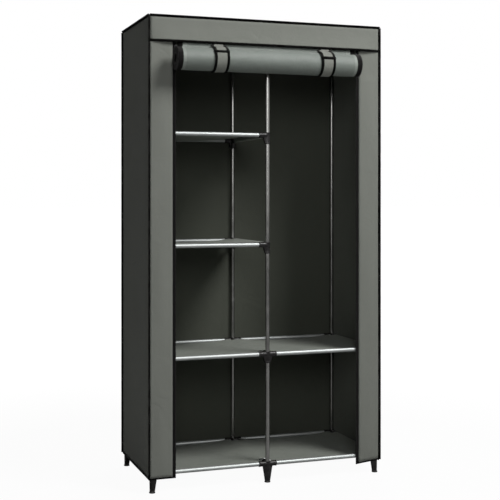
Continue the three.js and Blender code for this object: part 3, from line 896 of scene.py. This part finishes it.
# Zip: a woven tape on each side of the opening, sewn behind the edge of the strip, with the
# spiral nylon teeth along its inner edge and one slider on it.
zip_tape_cloth = cloth_finish(
    "zip tape", (0.0095, 0.009, 0.009), (0.004, 0.004, 0.004),
    thread=0.0008, crease=0.0003, sheen=0.0, gloss=0.08,
)
nylon, nodes = start_finish("zip teeth nylon")
grain = use_group(nodes, grain_group, Scale=2600.0)
black, paler_black = (0.010, 0.0095, 0.0095, 1), (0.018, 0.017, 0.017, 1)
tone = mix_colours(nodes, fade(nodes, grain["Mask"], 0.3, 0.7), black, paler_black)
dusty = use_group(nodes, dust_group, Colour=tone, Dust=(0.2, 0.19, 0.18, 1), Amount=0.2)
coat(nodes, {"Height": grain["Height"], "Distance": 0.0001, "Strength": 0.3}, {
    "Base Color": dusty["Colour"],
    "Roughness": fade(nodes, grain["Mask"], 0.3, 0.7, 0.36, 0.48),
    "Specular IOR Level": 0.25,
})
tape_line = (strip_edge + 0.006, strip_edge - 0.001, opening_half + 0.005, opening_half)
tape_y = front_y + 0.0016
tape_top = roof_z - 0.02
tape_rows = 90
tape_wave = 0.0005
tape_thickness = 0.0008
tooth_pitch = 0.0026
tooth_size = (0.0026, 0.0019, 0.0013)
tooth_edge = 0.0003
tooth_lean = 0.22
tooth_x = opening_half + 0.0008
tooth_y = tape_y - 0.0011
first_tooth_z = hem_z + 0.004
teeth_on_strip = int((lintel_hem_z + 0.012 - hem_z) / tooth_pitch)


def make_block(bm, place, turn, size):
    """A block of a size, and the list of its edges."""
    shape = Matrix.Translation(place) @ turn @ Matrix.Diagonal((*size, 1))
    made = bmesh.ops.create_cube(bm, size=1, matrix=shape)["verts"]
    return list({edge for vert in made for edge in vert.link_edges})


def lay_tooth(bm, place, turn):
    round_edges(bm, make_block(bm, place, turn, tooth_size), tooth_edge, 1)


for name, side in (("left", -1), ("right", 1)):
    bm = bmesh.new()
    low = hem_z - (hem_droop if side > 0 else 0)
    row = start_row(bm, [(side * x, tape_y, low) for x in tape_line])
    pull_row(bm, row, Vector((0, 0, (tape_top - low) / tape_rows)), tape_rows)
    if side < 0:
        bmesh.ops.reverse_faces(bm, faces=list(bm.faces))
    wrap_round(bm, bm.faces, lambda vert: (vert.co.x, vert.co.z))
    for vert in bm.verts:
        if vert.co.z < lintel_hem_z:
            vert.co.y += tape_wave * waver(side, 0.4, vert.co.z * 11)
    tape_piece = show(
        f"{name}_zip_tape", smooth_mesh(bm, "zip tape"), [zip_tape_cloth]
    )
    thicken(tape_piece, tape_thickness, 0)
    bm = bmesh.new()
    lean = Matrix.Rotation(side * tooth_lean, 4, "Y")
    for at in range(teeth_on_strip):
        lay_tooth(bm, (side * tooth_x, tooth_y, first_tooth_z + at * tooth_pitch), lean)
    show(f"{name}_zip_teeth", smooth_mesh(bm, "zip teeth"), [nylon])


# Zip sliders: black enamelled die-cast bodies with a crown and a flat pull, one on each side.
# Two plates, joined by a neck at their upper end, run in front of the teeth and behind them.
enamel, nodes = start_finish("black enamel")
grain = use_group(nodes, grain_group, Scale=3000.0)
black, bare_metal = (0.02, 0.02, 0.021, 1), (0.12, 0.12, 0.125, 1)
worn = use_group(nodes, wear_group, Colour=black, Worn=bare_metal, Amount=0.6)
coat(nodes, {"Height": grain["Height"], "Distance": 0.00008, "Strength": 0.3}, {
    "Base Color": worn["Colour"],
    "Metallic": fade(nodes, worn["Mask"], 0.0, 0.6, 0.1, 0.9),
    "Roughness": fade(nodes, grain["Mask"], 0.3, 0.7, 0.4, 0.55),
    "Specular IOR Level": 0.3,
})
slider_half = 0.007
pull_top = 0.0042
pull_low = pull_top - 0.022
slider_edge = 0.00025

# Half width, front and back behind the strip, low and high from the slider's middle, corner radius.
front_plate = (0.005, -0.0015, -0.0003, -slider_half, slider_half, 0.0026)
back_plate = (0.005, 0.003, 0.0042, -slider_half, slider_half, 0.0026)
neck = (0.0012, -0.001, 0.0035, 0.001, slider_half, 0.0006)
crown = (0.0014, -0.0042, -0.0012, -0.002, 0.0062, 0.0008)
pull = (0.003, -0.0040, -0.0028, pull_low, pull_top, 0.0024)

for name, side in (("left", -1), ("right", 1)):
    node = f"zip_slider_{name}"
    centre_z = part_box(node)[1].z - slider_half
    bm = bmesh.new()
    for half, near, far, low, high, corner in (front_plate, back_plate, neck, crown, pull):
        middle = (side * opening_half, front_y + (near + far) / 2, centre_z + (low + high) / 2)
        edges = make_block(bm, middle, Matrix(), (2 * half, far - near, high - low))
        along_depth = [edge for edge in edges if abs((edge.verts[0].co - edge.verts[1].co).y) > 1e-5]
        round_edges(bm, along_depth, corner, 5)
    bmesh.ops.recalc_face_normals(bm, faces=bm.faces)
    round_edges(bm, edges_sharper(bm, 60), slider_edge, 2)
    mesh = smooth_mesh(bm, "slider")
    mesh.set_sharp_from_angle(angle=math.radians(35))
    show(f"{name}_zip_slider_body", mesh, [enamel], [node], body=node)


# Door: one sheet of cloth, 708 mm wide and 1559 mm long, with a black zip tape along each side
# and, just inside each tape, a paler band of the same cloth that is a painted highlight. It hangs
# from behind the lintel and is rolled up outward from its lower end, eight turns.
door_cloth, highlight_band_cloth = (
    cloth_finish(name, light, shade, crease=0.0012, gloss=0.6, smooth=0.34)
    for name, light, shade in (
        ("door cloth", (0.178, 0.203, 0.181), (0.118, 0.134, 0.120)),
        ("pale band painted highlight", (0.240, 0.268, 0.240), (0.165, 0.185, 0.165)),
    )
)
door_finishes = [door_cloth, zip_tape_cloth, highlight_band_cloth]
roll_radius = 0.0438
roll_y = front_y - 0.057
roll_z = 1.5457
roll_turns = 8
roll_steps = 44
roll_shift = -0.0175
door_half = 0.354
door_length = 1.559
door_tape = 0.019
highlight_band_edge = 0.03
seam_half = 0.0001
roll_outer = roll_radius - cloth_thickness / 2
strap_x = 0.2045
dent_reach = 0.032


def on_roll(radius, angle):
    """A point round the middle of the roll, at X = 0."""
    return Vector((0, roll_y + radius * math.cos(angle), roll_z + radius * math.sin(angle)))


hang_point = Vector((0, front_y - 0.0009, lintel_hem_z))
away = Vector((hang_point.y - roll_y, hang_point.z - roll_z))
leave_angle = math.atan2(away.y, away.x) - math.acos(roll_outer / away.length)
leave_point = on_roll(roll_outer, leave_angle)
wound_length = door_length - (hang_point - leave_point).length
roll_mean = wound_length / (2 * math.pi * roll_turns)
roll_pitch = 2 * (roll_outer - roll_mean) / roll_turns


def spiral(turns):
    return on_roll(roll_outer - roll_pitch * turns, leave_angle - 2 * math.pi * turns)


def run_cloth(bm, line, places):
    """Cloth pulled along a line, from a row of places across it. Its run is kept at each point."""
    layer = bm.verts.layers.float.get("run") or bm.verts.layers.float.new("run")
    row = start_row(bm, [(x, *line[0].yz) for x in places])
    gone = 0.0
    for here, there in zip(line, line[1:]):
        gone += (there - here).length
        row = pull_row(bm, row, there - here)
        for edge in row:
            for vert in edge.verts:
                vert[layer] = gone
    wrap_round(bm, bm.faces, lambda vert: (vert.co.x, vert[layer]))
    return gone


# Gives the edge faces the zip tape, and the faces just inside them the pale painted highlight.
def tape_the_sides(bm, middle, half):
    for face in bm.faces:
        from_edge = half - abs(face.calc_center_median().x - middle)
        face.material_index = 1 if from_edge < door_tape else 2 if from_edge < highlight_band_edge else 0


def outward(bm):
    """Turns the faces of a sheet so that its foremost part looks to the front."""
    bmesh.ops.recalc_face_normals(bm, faces=bm.faces)
    foremost = min(bm.faces, key=lambda face: face.calc_center_median().y)
    if foremost.normal.y > 0:
        bmesh.ops.reverse_faces(bm, faces=bm.faces)


insets = (0, 0.004, door_tape - seam_half, door_tape + seam_half, highlight_band_edge)
left_columns = [inset - door_half for inset in insets]
inner_half, inner_columns = door_half - highlight_band_edge, 40
inner_step = 2 * inner_half / inner_columns
door_columns = left_columns + [inner_step * at - inner_half for at in range(1, inner_columns)]
door_columns += [-x for x in reversed(left_columns)]
bm = bmesh.new()
spiral_line = [spiral(at / roll_steps) for at in range(roll_turns * roll_steps + 1)]
run_cloth(bm, spiral_line, [x + roll_shift for x in door_columns])
tape_the_sides(bm, roll_shift, door_half)
run = bm.verts.layers.float["run"]
for vert in bm.verts:
    x, wound = vert.co.x - roll_shift, vert[run]
    end, end_side = abs(x) / door_half, 1 if x > 0 else -1
    angle = math.atan2(vert.co.z - roll_z, vert.co.y - roll_y)
    cos, sin = math.cos(angle), math.sin(angle)
    dent = sum(math.exp(-((vert.co.x - strap) / dent_reach) ** 2) for strap in (-strap_x, strap_x))
    ripple = waver(x * 5.5, cos * 0.8 + 7, sin * 0.8)
    fine = waver(x * 19, cos * 2.2, sin * 2.2 + 3)
    squeeze = 0.0014 * dent + 0.0012 * end ** 6
    outermost = math.exp(-wound / 0.5)
    swelling = outermost * (0.0011 * (ripple - 0.35) + 0.0004 * fine) - squeeze
    vert.co += Vector((0, cos, sin)) * swelling
    telescope = 0.0022 * waver(wound * 6.5, 0.3, 1.0 if x > 0 else 4.0)
    vert.co.x += (telescope - 0.0012 * end_side) * end ** 8
outward(bm)
roll = show(
    "rolled_door", smooth_mesh(bm, "rolled door"), door_finishes, ["door_roll"],
    body="door_roll",
)
thicken(roll, cloth_thickness, 0)

bm = bmesh.new()
teeth_on_roll = int(wound_length / tooth_pitch)
for side in (-1, 1):
    for at in range(teeth_on_roll):
        turns = roll_turns * at / teeth_on_roll
        place = spiral(turns)
        place.x = roll_shift + side * (door_half - 0.001)
        lay_tooth(bm, place, Matrix.Rotation(leave_angle - 2 * math.pi * turns, 4, "X"))
roll_teeth = show(
    "rolled_door_teeth", smooth_mesh(bm, "rolled teeth"), [nylon], body="door_roll"
)

fall_half = 0.348
fall_rows = 110
top_point = Vector((0, front_y - 0.0004, lintel_hem_z + 0.014))
plain_half = fall_half - door_tape - seam_half
columns = [-fall_half, -plain_half - 2 * seam_half, -plain_half]
columns += [plain_half * (at / 20 - 1) for at in range(1, 40)]
columns += [-x for x in reversed(columns[:3])]
bm = bmesh.new()
row = start_row(bm, [(x, *top_point.yz) for x in columns])
row = pull_row(bm, row, hang_point - top_point)
pull_row(bm, row, (leave_point - hang_point) / fall_rows, fall_rows)
wrap_round(bm, bm.faces, lambda vert: (vert.co.x, vert.co.z))
tape_the_sides(bm, 0.0, fall_half)
for vert in bm.verts:
    fallen = max(0.0, (hang_point.z - vert.co.z) / (hang_point.z - leave_point.z))
    vert.co.x += roll_shift * fallen ** 2
outward(bm)
fall = show(
    "door_between_lintel_and_roll", smooth_mesh(bm, "door"), door_finishes, body=None
)
thicken(fall, cloth_thickness, 0)
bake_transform(fall, "root", "door_roll", start=hang_point, end=leave_point)
for piece in (roll, roll_teeth):
    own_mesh(piece)


# Roll straps: two loops of the cover's cloth, 55 mm wide, sewn in under the lintel hem in front
# and behind. Their edges are bound in black, and a band of the same tape crosses each in front.
# Their cloth is coloured lighter than the cover's, as painted light from above.
# The cover's cloth coloured lighter: painted light on the straps.
strap_painted_light_cloth = cloth_finish(
    "strap cloth painted light", (0.262, 0.271, 0.242), (0.114, 0.120, 0.105),
    thread=0.0014, crease=0.0006, sheen=0.1, gloss=0.12,
)
strap_half = 0.0275
strap_radius = roll_radius + 0.0012
strap_front = Vector((0, front_y - 0.0034, lintel_hem_z + 0.001))
strap_bend = Vector((0, front_y - 0.0042, lintel_hem_z - 0.003))
strap_back = Vector((0, front_y + 0.0007, lintel_hem_z))
strap_swell = 0.0006
strap_ease = 0.055
ring_shift = -0.006
edging = 0.0092
edging_thickness = 0.0026
band_tape = (0.0122, 0.0034)
band_radius = strap_radius + 0.0008
band_half = strap_half + 0.001


def touch_angle(point, side):
    """Where a strap that comes straight from a point meets the roll, on its upper or lower side."""
    gap = Vector((point.y - roll_y, point.z - roll_z))
    return math.atan2(gap.y, gap.x) + side * math.acos(strap_radius / gap.length)


strap_start = touch_angle(strap_bend, 1)
strap_end = touch_angle(strap_back, -1) + 2 * math.pi
loop = [on_roll(strap_radius, strap_start + (strap_end - strap_start) * at / 64) for at in range(65)]
strap_line = [strap_front, strap_bend]
strap_line += [strap_bend.lerp(loop[0], share / 5) for share in range(1, 5)]
strap_line += loop
strap_line += [loop[-1].lerp(strap_back, share / 5) for share in range(1, 6)]


def hang_askew(bm, middle_x, tab_shift):
    """Sets a strap out of true: its sewn ends are gathered and its loop lies beside them."""
    for vert in bm.verts:
        away = min(1.0, (Vector((0, vert.co.y, vert.co.z)) - strap_bend).length / strap_ease)
        ease = away * away * (3 - 2 * away)
        across = (vert.co.x - middle_x) * (0.9 + 0.1 * ease)
        vert.co.x = middle_x + across + tab_shift + (ring_shift - tab_shift) * ease


for name, middle_x, band_angle, tab_shift in (
    ("left", -strap_x, 147.0, 0.010), ("right", strap_x, 156.0, 0.020),
):
    bm = bmesh.new()
    places = [middle_x - strap_half + at * strap_half / 6 for at in range(13)]
    strap_length = run_cloth(bm, strap_line, places)
    for vert in bm.verts:
        crown = 1 - ((vert.co.x - middle_x) / strap_half) ** 2
        radial = Vector((0, vert.co.y - roll_y, vert.co.z - roll_z)).normalized()
        uneven = waver(middle_x * 9, vert.co.y * 40, vert.co.z * 40)
        vert.co += radial * strap_swell * crown * uneven
    hang_askew(bm, middle_x, tab_shift)
    outward(bm)
    strap = show(
        f"{name}_roll_strap", smooth_mesh(bm, "strap"), [strap_painted_light_cloth],
        [f"roll_strap_{name}"],
    )
    thicken(strap, cloth_thickness, 0)
    bm = bmesh.new()
    for side in (-1, 1):
        edge = middle_x + side * (strap_half - edging / 2)
        run_cloth(bm, strap_line, [edge + edging * part / 4 for part in range(-2, 3)])
    hang_askew(bm, middle_x, tab_shift)
    outward(bm)
    bindings = show(
        f"{name}_roll_strap_binding", smooth_mesh(bm, "strap binding"), [black_tape]
    )
    thicken(bindings, edging_thickness, 0)
    angle = math.radians(band_angle)
    middle = on_roll(band_radius, angle)
    ends = [(middle_x + side * band_half, *middle.yz) for side in (-1, 1)]
    bm = bmesh.new()
    bind(bm, *ends, (0, -math.sin(angle), math.cos(angle)), band_tape, wobble=0.0)
    hang_askew(bm, middle_x, tab_shift)
    band = show(
        f"{name}_roll_strap_band", smooth_mesh(bm, "strap band"), [black_tape]
    )
    for piece in (strap, bindings, band):
        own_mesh(piece)


# Studio: a pale floor and a white surround, with a soft key lamp high on the right in front, a
# weak fill on the left in front and a third lamp behind on the right. A level camera looks from
# the left of the front.
floor_paint, nodes = start_finish("pale floor")
seen = add_node(nodes, "LightPath").outputs["Is Camera Ray"]
speckle = fade(nodes, cloudy(nodes, object_place(nodes), 60.0, 3.0), 0.3, 0.7)
floor_tone = mix_colours(nodes, speckle, (0.40, 0.40, 0.40, 1), (0.44, 0.44, 0.44, 1))
matt = add_node(nodes, "BsdfPrincipled", {
    "Base Color": floor_tone, "Roughness": 0.9, "Specular IOR Level": 0.1,
})
glow = add_node(nodes, "Emission", {"Color": (1, 1, 1, 1), "Strength": 1.03})
distance = add_node(nodes, "VectorMath", {0: object_place(nodes)}, operation="LENGTH")
white = multiply(nodes, seen, fade(nodes, distance.outputs["Value"], 1.2, 3.0, 0.93, 1.0))
mixed = add_node(nodes, "MixShader", {0: white, 1: matt.outputs[0], 2: glow.outputs[0]})
nodes.links.new(mixed.outputs[0], add_node(nodes, "OutputMaterial").inputs["Surface"])
bm = bmesh.new()
bmesh.ops.create_grid(bm, x_segments=1, y_segments=1, size=80)
mesh = mesh_of(bm, "floor")
mesh.materials.append(floor_paint)
floor = bpy.data.objects.new("floor", mesh)
bpy.context.scene.collection.objects.link(floor)

world = bpy.data.worlds.new("studio")
bpy.context.scene.world = world
world.use_nodes = True
nodes = world.node_tree
nodes.nodes.clear()
shown = add_node(nodes, "LightPath").outputs
mirrored = reckon(nodes, "MAXIMUM", shown["Is Glossy Ray"], shown["Is Transmission Ray"])
shown = reckon(nodes, "MAXIMUM", shown["Is Camera Ray"], mirrored)
strength = fade(nodes, shown, 0.0, 1.0, 0.02, 1.0)
sky = add_node(nodes, "Background", {"Color": (1, 1, 1, 1), "Strength": strength})
nodes.links.new(sky.outputs[0], add_node(nodes, "OutputWorld").inputs["Surface"])

lamps_look_at = Vector((0, 0, 1.15))


def lamp(name, azimuth, elevation, distance, size, power):
    light = bpy.data.lights.new(name, "AREA")
    light.shape, light.size, light.energy = "DISK", size, power
    holder = bpy.data.objects.new(name, light)
    a, e = math.radians(azimuth), math.radians(elevation)
    toward = Vector((math.sin(a) * math.cos(e), -math.cos(a) * math.cos(e), math.sin(e)))
    holder.location = lamps_look_at + toward * distance
    holder.rotation_euler = toward.to_track_quat("Z", "Y").to_euler()
    bpy.context.scene.collection.objects.link(holder)


lamp("key", azimuth=33, elevation=44, distance=3.9, size=1.6, power=138)
lamp("fill", azimuth=-14, elevation=14, distance=4.5, size=1.8, power=38)
lamp("back", azimuth=150, elevation=32, distance=4.4, size=2.2, power=95)

camera = bpy.data.objects.new("camera", bpy.data.cameras.new("camera"))
camera.data.lens = 76.42
camera.data.sensor_width = 36
camera.data.shift_y = -0.108
camera.location = (-1.3641, -3.8351, 1.0584)
camera.rotation_euler = (math.pi / 2, 0, -math.radians(19.379))
bpy.context.scene.collection.objects.link(camera)
bpy.context.scene.camera = camera
bpy.context.scene.view_settings.view_transform = "Standard"
